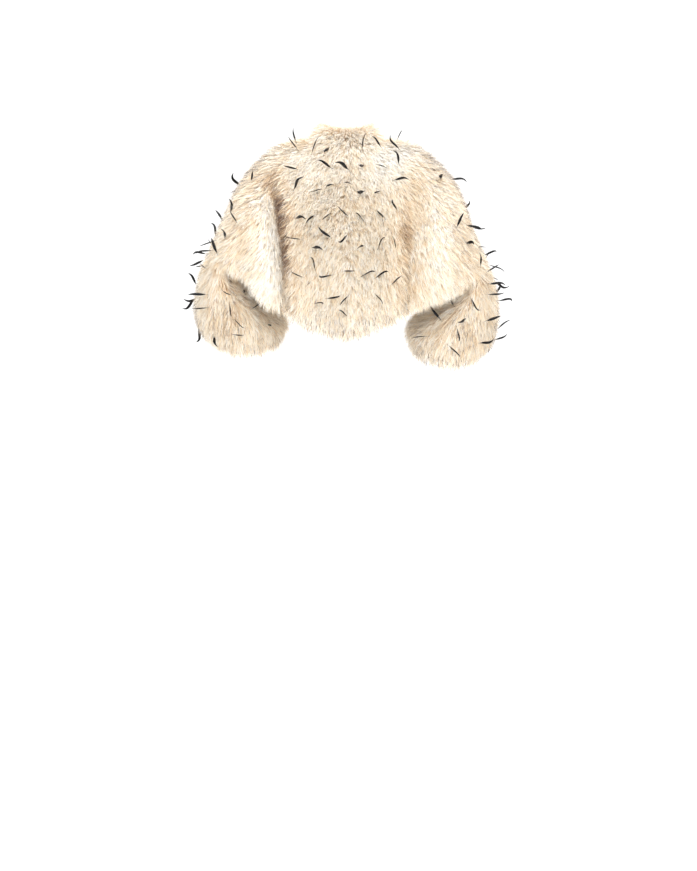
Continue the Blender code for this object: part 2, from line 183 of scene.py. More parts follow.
class Graph:
    """A node tree that grows by add()."""

    def __init__(self, tree):
        self.tree = tree

    def add(self, kind, settings=None, sockets=None):
        """A new node: its settings are set first, and then its sockets are filled."""
        node = self.tree.nodes.new(kind)
        for name, value in (settings or {}).items():
            if name == "stops":
                self.set_stops(node.color_ramp, value)
            else:
                setattr(node, name, value)
        self.fill(node, sockets or {})
        return Made(self, node)

    def fill(self, node, sockets):
        """Link what varies to a node's sockets, and set the others to numbers."""
        for name, value in sockets.items():
            if isinstance(value, Value):
                self.tree.links.new(value.socket, node.inputs[name])
            else:
                node.inputs[name].default_value = value

    @staticmethod
    def set_stops(ramp, stops):
        """Give a colour ramp its stops, each a position and a colour."""
        while len(ramp.elements) < len(stops):
            ramp.elements.new(1.0)
        for element, (position, colour) in zip(ramp.elements, stops):
            element.position = position
            element.color = (*colour, 1)

    def ramp(self, factor, stops):
        return self.add("ShaderNodeValToRGB", {"stops": stops}, {"Fac": factor})["Color"]

    def rise(self, value, low, high):
        """Soft steps: 0 where the value is at low, and 1 where it is at high."""
        settings = {"interpolation_type": "SMOOTHSTEP"}
        sockets = {"Value": value, "From Min": low, "From Max": high}
        return self.add("ShaderNodeMapRange", settings, sockets)["Result"]

    def mix(self, factor, first, second):
        sockets = {0: factor, 6: first, 7: second}
        return self.add("ShaderNodeMix", {"data_type": "RGBA"}, sockets)[2]

    def noise(self, scale):
        """Noise through the object, three octaves deep."""
        where = self.add("ShaderNodeTexCoord")["Object"]
        sockets = {"Vector": where, "Scale": scale, "Detail": 3.0}
        return self.add("ShaderNodeTexNoise", None, sockets)["Fac"]

    def vectors(self, operation, first, second):
        sockets = {0: first, 3 if operation == "SCALE" else 1: second}
        return self.add("ShaderNodeVectorMath", {"operation": operation}, sockets)["Vector"]

    def join(self, x, y, z=0.0):
        return self.add("ShaderNodeCombineXYZ", None, {"X": x, "Y": y, "Z": z})["Vector"]

    def parts(self, vector):
        return self.add("ShaderNodeSeparateXYZ", None, {0: vector})

    def uv(self, name):
        """The two numbers of a UV map."""
        parts = self.parts(self.add("ShaderNodeUVMap", {"uv_map": name})["UV"])
        return parts["X"], parts["Y"]


def new_material(name):
    """A material with a fresh Principled shader: its graph and that shader's node."""
    made = bpy.data.materials.new(name)
    made.use_nodes = True
    return made, Graph(made.node_tree), made.node_tree.nodes["Principled BSDF"]


print("graph helpers are ready")

# %% [markdown]
# ## Sections of the garment
#
# The bolero is a run of sections, from the left cuff over the shoulders to the right
# cuff. Each starts at its crown, on the shoulder or the outside of the arm, and goes
# down the back (angles above 0) and the front (angles below 0). These are the solids'
# sections, so the cloth lies in the solids' walls. Both sides of the body share their
# depths, and how far round they reach, but each arm hangs in its own way.

# %% Sections
SHARED = ("back", "front", "back_open", "front_open", "front_round", "tilt")
OWN = ("crown_x", "crown_z", "edge_x", "edge_z", "middle_y")
SIDES = (                    # name, sizes of both sides, place on the left and on the right
    ("cuff", (106, 104, 180, 180, 2.0, 32),
     (332, -502, 154, -508, -125), (-332, -538, -156, -532, -127)),
    ("forearm", (126, 118, 180, 180, 2.0, 28),
     (368, -476, 137, -458, -118), (-368, -508, -142, -476, -120)),
    ("under elbow", (136, 124, 180, 180, 2.0, 18),
     (380, -427, 164, -429, -106), (-380, -458, -176, -444, -108)),
    ("elbow", (136, 128, 180, 180, 2.0, 8),
     (372, -374, 212, -400, -94), (-378, -408, -218, -431, -96)),
    ("sleeve join", (132, 130, 180, 180, 2.0, 2),
     (357, -323, 247, -372, -86), (-365, -353, -260, -402, -88)),
    ("upper arm", (134, 134, 107, 118, 1.9, 0),
     (329, -268, 260, -351, -80), (-338, -293, -273, -382, -82)),
    ("sleeve", (142, 144, 112, 117, 1.8, 0),
     (294, -198, 232, -362, -75), (-302, -221, -240, -404, -76)),
    ("shoulder", (152, 160, 117, 117, 1.7, 0),
     (239, -95, 188, -424, -70), (-250, -101, -200, -428, -70)),
    ("armhole", (156, 178, 121, 118, 1.6, 0),
     (168, -29, 138, -464, -65), (-168, -25, -142, -461, -65)),
    ("yoke", (159, 186, 123, 119, 1.5, 0),
     (124, -14, 103, -486, -63), (-124, -13, -107, -480, -63)),
    ("neck", (161, 190, 125, 118, 1.5, 0),
     (84, -3, 72, -500, -62), (-84, -3, -74, -496, -62)),
    ("front edge", (162, 191, 126, 113, 1.5, 0),
     (42, 22, 38, -512, -62), (-42, 22, -38, -511, -62)),
)
CENTRE = ("centre back", (162, 191, 127, 110, 1.5, 0), (0, 34, 0, -517, -62))
RUN = [(f"left {name}", shared, left) for name, shared, left, _ in SIDES] + [CENTRE]
RUN += [(f"right {name}", shared, right) for name, shared, _, right in reversed(SIDES)]
SECTIONS = [dict(zip(SHARED + OWN, shared + own)) for _, shared, own in RUN]
STATION = {row[0]: number for number, row in enumerate(RUN)}
MIDDLE = STATION["centre back"]
NECK_LEFT, NECK_RIGHT = STATION["left neck"], STATION["right neck"]
NECK_BACK, NECK_FRONT = 88 * MM, 90 * MM
STATION_MM = 62           # about how far apart two stations are
ANGLE_MM = 3.2            # about how long a degree is on a section
HEM_HANG = 12             # how far the pile hangs past its cloth at the hem, in millimetres
HEM_ANGLE_MM = 5.8        # about how long a degree is near the hem
CLOSING = 15              # a section this many degrees short of a full ring starts to close
TINY = 1e-6


def smooth(before, start, end, after, share):
    """The value a share of the way from start to end, on a curve through all four."""
    return 0.5 * (2 * start + (end - before) * share
                  + (2 * before - 5 * start + 4 * end - after) * share ** 2
                  + (3 * start - before - 3 * end + after) * share ** 3)


def section(station):
    """The named sizes of the section at a station, whole or between two rows."""
    last = len(SECTIONS) - 1
    first = min(int(station), last - 1)
    near = [SECTIONS[min(max(first + step, 0), last)] for step in (-1, 0, 1, 2)]
    return {key: smooth(*[row[key] for row in near], station - first) for key in SHARED + OWN}


def hem_angle(row, side):
    """The angle where the cloth ends: side is 1 for the back and -1 for the front."""
    open_at = min(row["back_open" if side > 0 else "front_open"], 180)
    short = HEM_HANG / HEM_ANGLE_MM * min((180 - open_at) / CLOSING, 1)
    return side * (open_at - short)


def neck_angle(row, station, side):
    """The angle where a section starts: at the neck hole's edge, or at the shoulder seam."""
    share = (station - MIDDLE) / (NECK_LEFT - MIDDLE)
    if abs(share) >= 1:
        return 0.0
    hole = (NECK_BACK if side > 0 else NECK_FRONT) * math.sqrt(1 - share ** 2)
    depth = row["back" if side > 0 else "front"] * MM
    roundness = 2.0 if side > 0 else row["front_round"]
    return side * math.degrees(math.asin((hole / depth) ** (roundness / 2)))


print("sections:", len(SECTIONS))

# %% [markdown]
# ## Folds
#
# Cloth this thick folds in a few soft troughs. The deepest run down beside the back,
# where the arm pulls the sleeve forward, each with a round ridge beside it. A fold is a
# line between two places on the sections, with a width and a depth in millimetres:
# below zero it is a ridge. The solids have the same folds.

# %% Folds
LINE = ("name", "from_station", "from_angle", "to_station", "to_angle", "width")


def table(columns, rows):
    return [dict(zip(columns, row)) for row in rows]


FOLDS = table(LINE + ("depth",), (
    ("left armhole groove", 7.85, 52, 8.05, 112, 22, 26),
    ("left sleeve ridge", 7.20, 55, 7.05, 106, 30, -17),
    ("left elbow hollow", 4.60, 92, 3.70, 118, 24, 8),
    ("left elbow ridge", 6.40, 62, 5.30, 86, 28, -10),
    ("left cuff trough", 0.40, 62, 3.20, 84, 20, 9),
    ("left inner trough", 0.30, 118, 2.60, 132, 18, 8),
    ("left front groove", 7.90, -48, 8.05, -104, 24, 18),
    ("left front ridge", 7.00, -55, 6.60, -100, 30, -12),
    ("left front trough", 0.40, -60, 3.00, -92, 22, 9),
    ("back upper hollow", 11.10, 48, 12.90, 48, 34, 6),
    ("back middle ridge", 11.60, 75, 12.30, 110, 46, -7),
    ("right armhole groove", 16.15, 52, 15.90, 112, 26, 18),
    ("right sleeve ridge", 17.10, 52, 17.50, 100, 32, -16),
    ("right elbow hollow", 19.40, 92, 20.30, 118, 24, 7),
    ("right elbow ridge", 17.90, 62, 18.80, 86, 28, -9),
    ("right cuff trough", 23.60, 66, 20.90, 86, 20, 9),
    ("right inner trough", 23.70, 116, 21.50, 130, 18, 8),
    ("right front groove", 16.10, -48, 15.95, -104, 24, 18),
    ("right front ridge", 17.00, -55, 17.40, -100, 30, -12),
    ("right front trough", 23.60, -62, 21.00, -92, 22, 9),
))


def nearness(station, angle, spot):
    """How near a place is to a fold's or a spot's line: 1 on it, falling softly to 0."""
    start = Vector((spot["from_station"] * STATION_MM, spot["from_angle"] * ANGLE_MM))
    end = Vector((spot["to_station"] * STATION_MM, spot["to_angle"] * ANGLE_MM))
    place = Vector((station * STATION_MM, angle * ANGLE_MM))
    along = (place - start).dot(end - start) / max((end - start).length_squared, 1e-9)
    nearest = start.lerp(end, min(max(along, 0.0), 1.0))
    return math.exp(-((place - nearest).length / spot["width"]) ** 2)


def fold_depth(station, angle):
    """How far the folds push the cloth inwards at a place, in metres."""
    return sum(fold["depth"] * nearness(station, angle, fold) for fold in FOLDS) * MM


def arch(value, roundness):
    """A sine or cosine, flattened where roundness is below 2, with its sign kept."""
    return math.copysign(abs(value) ** (2 / roundness), value)


def section_point(row, angle, inwards):
    """A point on a section at an angle in degrees, moved in from the pile's surface."""
    crown = Vector((row["crown_x"], 0, row["crown_z"]))
    edge = Vector((row["edge_x"], 0, row["edge_z"]))
    reach = (crown - edge).length / (1 - math.cos(math.radians(min(row["back_open"], 180))))
    up = (crown - edge).normalized()
    turn = math.radians(angle)
    roundness, depth = (2.0, row["back"]) if angle >= 0 else (row["front_round"], row["front"])
    rise = up * (reach * MM - inwards) * arch(math.cos(turn), roundness)
    point = (crown - up * reach) * MM + rise
    point.y = row["middle_y"] * MM + (depth * MM - inwards) * arch(math.sin(turn), roundness)
    point.z -= row["tilt"] * MM * math.sin(turn)
    return point


print("folds:", len(FOLDS))

# %% [markdown]
# ## Backing cloth
#
# Fur of this kind is a knitted backing with the pile on its outside. Each sewn piece is
# one shell, 2 mm thick, at the inner face of the solid's wall. Its grid of points
# follows the sections at finer steps, and also tells the hairs where they grow.

# %% Backing cloth: grids
WALL = 28 * MM            # cloth and pile together, as the solids have them
CLOTH = 2 * MM
SEAM_GAP = 0.3 * MM
SEAM_STATION = 0.003      # half a sleeve seam's gap, in stations
HANG = 22 * MM            # how far the pile hangs past its cloth at a cuff
FINE = 5                  # steps from one station to the next
NECK_STEPS = 12           # steps from the centre back to the neck's side
ROWS = 36                 # steps from the shoulder to a hem
FRONT_BACK = 0.2          # stations that a front's cloth ends before its edge
FULL_TURN = 179.9         # degrees: a section that reaches this far is a closed ring


def grid_faces(columns, rows):
    """The faces of a grid whose places are numbered column by column."""
    return [[i * rows + j, (i + 1) * rows + j, (i + 1) * rows + j + 1, i * rows + j + 1]
            for i in range(columns - 1) for j in range(rows - 1)]


class Panel:
    """A sewn piece as a grid of stations and angles, with the points at three depths.

    free has the numbers of a column at a free edge and of the one before it.
    """

    def __init__(self, name, stations, sides, free=None):
        self.name, self.sides, self.free = name, sides, free
        self.places, self.outer, self.inner, self.surface = [], [], [], []
        for station in stations:
            row = section(station)
            angles = self.angles(row, station)
            self.places.append([(station, angle) for angle in angles])
            for grid, inset in ((self.outer, WALL - CLOTH), (self.inner, WALL), (self.surface, 0)):
                grid.append([section_point(row, angle, inset + fold_depth(station, angle))
                             for angle in angles])
                if len(sides) == 1 and angles[0] == 0:
                    grid[-1][0].y += SEAM_GAP / 2 * sides[0]
        self.closed = [min(abs(column[0][1]), abs(column[-1][1])) > FULL_TURN
                       for column in self.places]

    def angles(self, row, station):
        """Angles down a section: one side of the body, or from the front hem to the back one."""
        if len(self.sides) == 1:
            side = self.sides[0]
            start, end = neck_angle(row, station, side), hem_angle(row, side)
            return [start + (end - start) * step / ROWS for step in range(ROWS + 1)]
        back, front = hem_angle(row, 1), hem_angle(row, -1)
        return [(back if step >= 0 else -front) * step / ROWS for step in range(-ROWS, ROWS + 1)]

    def once(self, grid):
        """A grid as one list, without the last place of a closed ring, which is its first."""
        return [value for column, closed in zip(grid, self.closed)
                for value in column[:len(column) - closed]]

    def faces(self):
        """The grid's faces, as numbers in such a list."""
        numbers, count = [], 0
        for column, closed in zip(self.places, self.closed):
            ring = list(range(count, count + len(column) - closed))
            numbers += ring + ring[:1] * closed
            count += len(ring)
        return [[numbers[corner] for corner in face]
                for face in grid_faces(len(self.places), len(self.places[0]))]


def between(start, end):
    """Fine stations from one row's name to another's, without the last."""
    first, last = STATION[start], STATION[end]
    steps = abs(last - first) * FINE
    return [first + (last - first) * step / steps for step in range(steps)]


def body_run(first=0, last=len(SECTIONS)):
    """Stations across the body, from one to the other, closer together at the neck's sides."""
    turns = [math.radians(90 / NECK_STEPS * step) for step in range(-NECK_STEPS, NECK_STEPS + 1)]
    stations = [STATION["left armhole"] + SEAM_STATION] + between("left armhole", "left neck")[1:]
    stations += [MIDDLE + (MIDDLE - NECK_LEFT) * math.sin(turn) for turn in turns]
    stations += between("right neck", "right armhole")[1:]
    stations += [STATION["right armhole"] - SEAM_STATION]
    return [station for station in stations if first - TINY <= station <= last + TINY]


def sleeve_run(side):
    """Stations of a sleeve, from just inside its cuff to its armhole."""
    stations = between(f"{side} cuff", f"{side} armhole")
    inwards = 1 if side == "left" else -1
    stations[:2] = [STATION[f"{side} cuff"] + inwards * HANG / MM / STATION_MM]
    return stations + [STATION[f"{side} armhole"] - inwards * SEAM_STATION]


left_run = body_run(last=STATION["left front edge"] - FRONT_BACK)
right_run = body_run(first=STATION["right front edge"] + FRONT_BACK)
back = Panel("back", body_run(), (1,))
front_left = Panel("front_left", left_run, (-1,), free=(-1, -2))
front_right = Panel("front_right", right_run, (-1,), free=(0, 1))
sleeve_left = Panel("sleeve_left", sleeve_run("left"), (-1, 1), free=(0, 1))
sleeve_right = Panel("sleeve_right", sleeve_run("right"), (-1, 1), free=(0, 1))
panels = (back, front_left, front_right, sleeve_left, sleeve_right)
for panel in panels:
    print(panel.name, len(panel.places), "stations of", len(panel.places[0]), "places")

# %% [markdown]
# ### Collar
#
# The collar is a strip of the same fur, folded and sewn to the neck edge. From that edge
# its cloth rises over the wall and leans in towards the neck, turns over at half the
# collar's rise, and comes down again on the neck's side. The pile makes the other half.

# %% Collar grid
COLLAR_RISE = (("left front edge", 24), ("left neck", 32), ("centre back", 30),
               ("right neck", 32), ("right front edge", 24))
COLLAR_SECTION = (          # share of the way from the wall's inner face to its outer one,
    # millimetres towards the neck, share of the rise
    (0.20, 1, 0.00), (0.50, 8, 0.10), (0.85, 16, 0.35),
    (1.00, 22, 0.50), (0.60, 25, 0.35), (0.10, 20, 0.00),
)
COLLAR_CLOTH = 1.5 * MM
COLLAR_STEP = 10 * MM     # about how far apart the collar's points are


def collar_rise(station):
    """How high the collar stands above the neck edge, in metres."""
    rows = [(STATION[name], rise) for name, rise in COLLAR_RISE]
    for (start, low), (end, high) in zip(rows, rows[1:]):
        if station <= end:
            share = max(station - start, 0) / (end - start)
            share = share * share * (3 - 2 * share)
            return (low + (high - low) * share) * MM
    return rows[-1][1] * MM


def neck_edge():
    """Station, outer and inner point from the left front round the back to the right front."""
    edge = []
    for panel, way in ((front_left, -1), (back, 1), (front_right, -1)):
        part = [(column[0][0], surface[0], inner[0])
                for column, surface, inner in zip(panel.places, panel.surface, panel.inner)
                if NECK_LEFT - TINY <= column[0][0] <= NECK_RIGHT + TINY][::way]
        edge += part[1:] if edge else part
    return edge


def collar_rings(thinner):
    """The collar cloth's line at each place of the neck edge, drawn in by a thickness."""
    edge, rings = neck_edge(), []
    for number, (station, outer, inner) in enumerate(edge):
        before, after = edge[max(number - 1, 0)][1], edge[min(number + 1, len(edge) - 1)][1]
        level = (after - before).cross(inner - outer).normalized()
        level = Vector((level.x, level.y, 0)).normalized()
        neck = Vector((0, section(station)["middle_y"] * MM, outer.z))
        if level.dot(neck - outer) < 0:
            level.negate()
        ring = [inner.lerp(outer, share) + level * inwards * MM
                + Vector((0, 0, rise * collar_rise(station)))
                for share, inwards, rise in COLLAR_SECTION]
        middle = sum(ring, Vector()) / len(ring)
        rings.append([point + (middle - point).normalized() * thinner for point in ring])
    return rings


collar_outer, collar_inner = collar_rings(0), collar_rings(COLLAR_CLOTH)
print("collar:", len(collar_outer), "sections")

# %% [markdown]
# ### Knit backing
#
# Where the garment is open, at the neck, the hem and the cuffs, the back of the knit
# shows. It is a plain stitch in ecru: rows of small loops. A wave across and a wave
# along, on the cloth's own UV map in metres, make the loops.

# %% Knit backing: material
ECRU_DARK, ECRU = (0.42, 0.33, 0.23), (0.62, 0.52, 0.39)
LOOPS_PER_METRE = 420
LOOP_ROWS = 0.8           # rows to a metre, against the loops to a metre


def knit_material():
    made, graph, shader = new_material("knit_backing")
    u, v = graph.uv("cloth")
    turn = 2 * math.pi * LOOPS_PER_METRE
    loops = (u * turn).maths("SINE") * (v * turn * LOOP_ROWS).maths("SINE") * 0.5 + 0.5
    tone = loops * 0.45 + graph.noise(14.0) * 0.55
    sockets = {"Strength": 0.35, "Distance": 0.6 * MM, "Height": loops}
    graph.fill(shader, {
        "Base Color": graph.ramp(tone, ((0.25, ECRU_DARK), (0.75, ECRU))),
        "Normal": graph.add("ShaderNodeBump", None, sockets)["Normal"],
        "Roughness": 0.92, "Sheen Weight": 0.25, "Sheen Roughness": 0.6})
    return made


knit = knit_material()
print("material:", knit.name)

# %% Backing cloth: shells
SHARP = math.radians(50)  # edges with a bend above this are shaded sharp


def shade(mesh):
    mesh.shade_smooth()
    mesh.set_sharp_from_angle(angle=SHARP)


def cloth_shell(name, outer, inner, faces, flat):
    """A closed shell between two sheets of points, with a UV map in metres, as an object."""
    count = len(outer)
    mesh = bpy.data.meshes.new(name)
    build = bmesh.new()
    points = [build.verts.new(point) for point in outer + inner]
    edges = {}
    for face in faces:
        build.faces.new([points[number] for number in face])
        build.faces.new([points[number + count] for number in reversed(face)])
        for pair in zip(face, face[1:] + face[:1]):
            edges[frozenset(pair)] = None if frozenset(pair) in edges else pair
    for first, second in filter(None, edges.values()):
        rim = (second, first, first + count, second + count)
        build.faces.new([points[number] for number in rim])
    bmesh.ops.recalc_face_normals(build, faces=build.faces)
    if build.calc_volume(signed=True) < 0:
        bmesh.ops.reverse_faces(build, faces=build.faces)
    build.verts.index_update()
    uv = build.loops.layers.uv.new("cloth")
    for face in build.faces:
        for corner in face.loops:
            corner[uv].uv = flat[corner.vert.index % count]
    build.to_mesh(mesh)
    build.free()
    shade(mesh)
    return link_object(f"cloth_{name}", mesh, knit)


def panel_cloth(panel):
    """The backing cloth of a panel."""
    flat = [(station * STATION_MM * MM, angle * ANGLE_MM * MM)
            for station, angle in panel.once(panel.places)]
    outer, inner = panel.once(panel.outer), panel.once(panel.inner)
    return cloth_shell(panel.name, outer, inner, panel.faces(), flat)


def collar_cloth(outer_rings, inner_rings):
    """The collar's cloth: one strip, folded over, open along the neck edge."""
    count, around = len(outer_rings), len(outer_rings[0])
    outer, inner = sum(outer_rings, []), sum(inner_rings, [])
    flat = [(i * COLLAR_STEP, j * COLLAR_STEP) for i in range(count) for j in range(around)]
    return cloth_shell("collar", outer, inner, grid_faces(count, around), flat)


def half_area(item):
    """Half of a closed shell's surface, which is the cloth's own area."""
    return sum(face.area for face in item.data.polygons) / 2


cloth = {panel.name: panel_cloth(panel) for panel in panels}
cloth["collar"] = collar_cloth(collar_outer, collar_inner)
for item in cloth.values():
    print(item.name, len(item.data.polygons), "faces,", round(half_area(item), 4), "m2")

# %% [markdown]
# ## How the pile lies
#
# A hair's direction is a mix of three: the way out of the cloth, the way down, and the
# way outwards along the sleeves, in which the maker brushed it. On the middle of the
# back the pile stands and shows its ends. On the sleeves, cuffs and hem it lies flatter,
# and its length shows. Hairs lean past free edges, so that no cut edge shows.
#
# Where the pile opens, in the grooves and on the flat of the back, the tan roots show, and in
# the grooves and folds the tone is painted darker still, as painted shade; on the lit ridges,
# rims and shoulders it is painted nearly white, as painted light. `SPOTS` sets the lay and the
# tone. Each row is a soft patch round a line, like a fold.

# %% How the pile lies: table of spots
#     tone      added to the pile's tone: 0 is brown and 1 is white; its dark values in the grooves and folds are painted shade, its light values on ridges, rims and shoulders painted light
#   lean      degrees added to how far the hairs lie down
#   tipped    added to the share of hairs that have brown tips
SPOTS = table(LINE + ("tone", "lean", "tipped"), (
    ("back centre", 10.2, 74, 13.8, 86, 64, 0.04, -14, 0),
    ("back top", 9.8, 44, 14.6, 44, 55, 0.08, 4, 0),
    ("back low centre", 11.0, 104, 13.2, 104, 40, 0.02, -4, 0),
    ("left back, warm", 8.70, 66, 9.10, 100, 32, -0.05, 0, 0),
    ("right back, warm", 14.60, 60, 14.90, 104, 36, -0.04, 0, 0),
    # grooves: darker tone and more brown tips, painted shade over the roots that show where the
    # pile parts
    ("left groove top", 7.90, 42, 8.12, 62, 17, -0.42, 0, 0.10),
    ("left groove", 8.14, 60, 8.26, 88, 18, -0.80, 0, 0.20),
    ("left groove low", 8.22, 88, 8.14, 112, 13, -0.70, 0, 0.10),
    ("right groove top", 15.90, 46, 15.50, 76, 24, -0.14, 0, 0),
    ("right groove low", 15.50, 76, 15.85, 110, 22, -0.20, 0, 0.04),
    # groove ridges: lighter tone, painted light
    ("left groove ridge", 7.55, 50, 7.45, 104, 24, 0.24, 8, 0),
    ("right groove ridge", 16.80, 44, 17.00, 92, 30, 0.12, 4, 0.02),
    # folds: darker tone and more brown tips, painted shade; their lit sides and the fold ridge are
    # lighter, painted light
    ("left fold", 4.80, 98, 5.30, 102, 10, -0.40, 0, 0.10),
    ("left fold, lit", 5.60, 102, 7.20, 110, 16, 0.08, 0, 0.02),
    ("right fold", 19.30, 98, 18.60, 104, 10, -0.36, 0, 0.10),
    ("right fold, lit", 18.20, 104, 17.00, 110, 16, 0.06, 0, 0.02),
    ("left fold ridge", 5.30, 84, 6.40, 92, 26, 0.06, 0, 0.02),
    # hem rim: lighter tone, painted light
    ("hem rim", 8.00, 122, 16.00, 122, 28, 0.06, 10, 0.20),
    ("left outer edge", 0.60, 6, 7.60, 8, 46, -0.04, 4, 0.50),
    ("right outer edge", 16.40, 8, 23.40, 6, 46, -0.05, 4, 0.55),
    ("left upper sleeve", 7.60, 44, 6.40, 76, 50, -0.07, 0, 0.05),
    ("right upper sleeve", 16.80, 44, 18.40, 84, 55, -0.03, 0, 0.06),
    ("left cuff", 0.00, 60, 0.30, 150, 40, -0.04, 6, 0.25),
    ("right cuff", 24.00, 60, 23.70, 150, 40, -0.04, 6, 0.25),
    ("left bag", 1.60, 66, 3.00, 110, 60, -0.13, 0, 0.12),
    ("right bag", 22.40, 66, 21.00, 110, 60, -0.07, 0, 0.12),
    ("left yoke", 10.50, 20, 8.80, 28, 34, 0.02, 12, 0.02),
    ("right yoke", 13.50, 20, 15.20, 28, 34, 0.06, 16, 0.02),
    # shoulders, the right one most: lighter tone, painted light
    ("left shoulder", 8.60, 20, 10.00, 34, 40, 0.08, 4, 0.03),
    ("right shoulder", 15.40, 20, 14.00, 34, 44, 0.24, 6, 0.03),
))
TIPPED = 0.02             # share of hairs with brown tips away from every spot
TONE = 0.58               # the pile's tone away from every spot
LEAN_BODY = 50            # degrees from straight out of the cloth
LEAN_SLEEVE = 55
LEAN_LIMITS = (15, 75)
SLEEVE_FROM, SLEEVE_OVER = 3.2, 1.6  # stations from the middle, and to come to the sleeve's lay
BRUSHED = 0.45            # how far the brushing outwards counts against the fall
BRUSHED_BODY = 0.3        # share of it that counts on the body
EDGE_REACH = 22 * MM      # within this of a free edge the hairs lean past it
EDGE_PUSH = 1.1
NECK_PUSH = 0.15
NECK_FALL = 0.6           # how far the hairs of the yoke fall away from the neck
NECK_LEVEL = 200 * MM     # how far below the neck that ends


def spot_sum(station, angle, key):
    return sum(spot[key] * nearness(station, angle, spot) for spot in SPOTS)


def edge_way(panel, i, j):
    """The way past the free edges near a grid place, longer the nearer they are."""
    grid, column = panel.outer, panel.outer[i]
    one_side = len(panel.sides) == 1
    ways = []                 # a place on an edge, the one before it, and how hard it pushes
    if not panel.closed[i]:
        ways += [] if one_side else [(column[0], column[1], EDGE_PUSH)]
        ways.append((column[-1], column[-2], EDGE_PUSH))
    if panel.free:
        end, before = panel.free
        ways.append((grid[end][j], grid[before][j], EDGE_PUSH))
    if one_side and abs(panel.places[i][0][1]) > TINY:
        ways.append((column[0], column[1], NECK_PUSH))
    push = Vector()
    for place, before, strength in ways:
        near = math.exp(-((place - column[j]).length / EDGE_REACH) ** 2)
        push += (place - before).normalized() * near * strength
    return push


def along_grid(grid, i, j):
    """The way from the column before a grid place to the one after it."""
    return grid[min(i + 1, len(grid) - 1)][j] - grid[max(i - 1, 0)][j]


def way_out(panel, i, j):
    """The way out of the cloth at a grid place."""
    column, last = panel.outer[i], len(panel.outer[i]) - 1
    before, after = max(j - 1, 0), min(j + 1, last)
    if panel.closed[i] and j in (0, last):
        before, after = last - 1, 1
    out = along_grid(panel.outer, i, j).cross(column[after] - column[before]).normalized()
    if out.dot(column[j] - panel.inner[i][j]) < 0:
        out.negate()
    return out


def lay_of(panel, i, j, out):
    """The mean direction of the hairs at a grid place."""
    place, (station, angle) = panel.outer[i][j], panel.places[i][j]
    outwards = along_grid(panel.outer, i, j).normalized()
    if (station > MIDDLE) != (panel.places[-1][0][0] > panel.places[0][0][0]):
        outwards.negate()
    on_sleeve = min(max((abs(station - MIDDLE) - SLEEVE_FROM) / SLEEVE_OVER, 0), 1)
    from_neck = Vector((place.x, place.y - section(MIDDLE)["middle_y"] * MM, 0)).normalized()
    fall = Vector((0, 0, -1)) + outwards * BRUSHED * (BRUSHED_BODY + on_sleeve)
    fall += edge_way(panel, i, j)
    fall += from_neck * NECK_FALL * min(max(1 + place.z / NECK_LEVEL, 0), 1)
    down = (fall - out * fall.dot(out)).normalized()
    lean = LEAN_BODY + (LEAN_SLEEVE - LEAN_BODY) * on_sleeve + spot_sum(station, angle, "lean")
    lean = math.radians(min(max(lean, LEAN_LIMITS[0]), LEAN_LIMITS[1]))
    return out * math.cos(lean) + down * math.sin(lean)


print("spots:", len(SPOTS))

# %% [markdown]
# ### The skin that the hairs grow from
#
# Geometry Nodes place the hairs and read numbers from the surface they grow on. So each
# panel gets a single sheet, its skin, with four values at each point: the direction of
# the pile, its tone, its length and the share of hairs with brown tips. A sleeve has two
# skins, above and below its join. The collar's skin is its whole strip.

# %% The skins
VALUES = ("lay", "tone", "length", "tipped")
LENGTH_SPOTS = (            # station, angle, width, share added to the length
    (12.0, 126, 60, 0.05), (0.2, 90, 70, 0.08), (23.8, 90, 70, 0.08),
)
COLLAR_LAY = (              # the hairs' way outwards and upwards, share of the pile's length
    (0.90, -0.40, 0.85), (0.95, -0.30, 0.75), (1.00, 0.00, 0.50),
    (0.70, 0.70, 0.32), (-0.20, 1.00, 0.25), (-0.30, 0.90, 0.25),
)
COLLAR_TONE = TONE + 0.10
COLLAR_CENTRE_Y = -65 * MM
JOIN_COLUMN = STATION["left sleeve join"] * FINE - 1  # of a sleeve's grid, from its cuff


def skin_mesh(name, columns, rows):
    """A sheet through columns of points. A row has a point's way out and its values."""
    points = [point for column in columns for point in column]
    faces = grid_faces(len(columns), len(columns[0]))
    for face in faces:
        a, b, c = (points[number] for number in face[:3])
        if (b - a).cross(c - a).dot(rows[face[0]][0]) < 0:
            face.reverse()
    mesh = bpy.data.meshes.new(f"skin_{name}")
    mesh.from_pydata([tuple(point) for point in points], [], faces)
    for key, numbers in zip(VALUES, list(zip(*rows))[1:]):
        numbers = np.array(numbers, np.float32)
        kind, slot = ("FLOAT_VECTOR", "vector") if numbers.ndim == 2 else ("FLOAT", "value")
        mesh.attributes.new(key, kind, "POINT").data.foreach_set(slot, numbers.ravel())
    mesh.validate()
    return mesh


def longer(station, angle):
    """The share that is added to the pile's length at a place."""
    share = 0
    for at_station, at_angle, width, add in LENGTH_SPOTS:
        way = (station - at_station) * STATION_MM, (abs(angle) - at_angle) * ANGLE_MM
        share += add * math.exp(-(math.hypot(*way) / width) ** 2)
    return share


def panel_skin(panel, first=0, last=None):
    """A panel's skin between two of its stations."""
    end = len(panel.places) if last is None else last + 1
    rows = []
    for i in range(first, end):
        for j, (station, angle) in enumerate(panel.places[i]):
            out = way_out(panel, i, j)
            # the tone holds the spots' painted shade in grooves and folds and their painted light
            # on ridges, rims and shoulders
            rows.append((out, tuple(lay_of(panel, i, j, out)),
                         TONE + spot_sum(station, angle, "tone"), 1 + longer(station, angle),
                         TIPPED + spot_sum(station, angle, "tipped")))
    return skin_mesh(panel.name, panel.outer[first:end], rows)


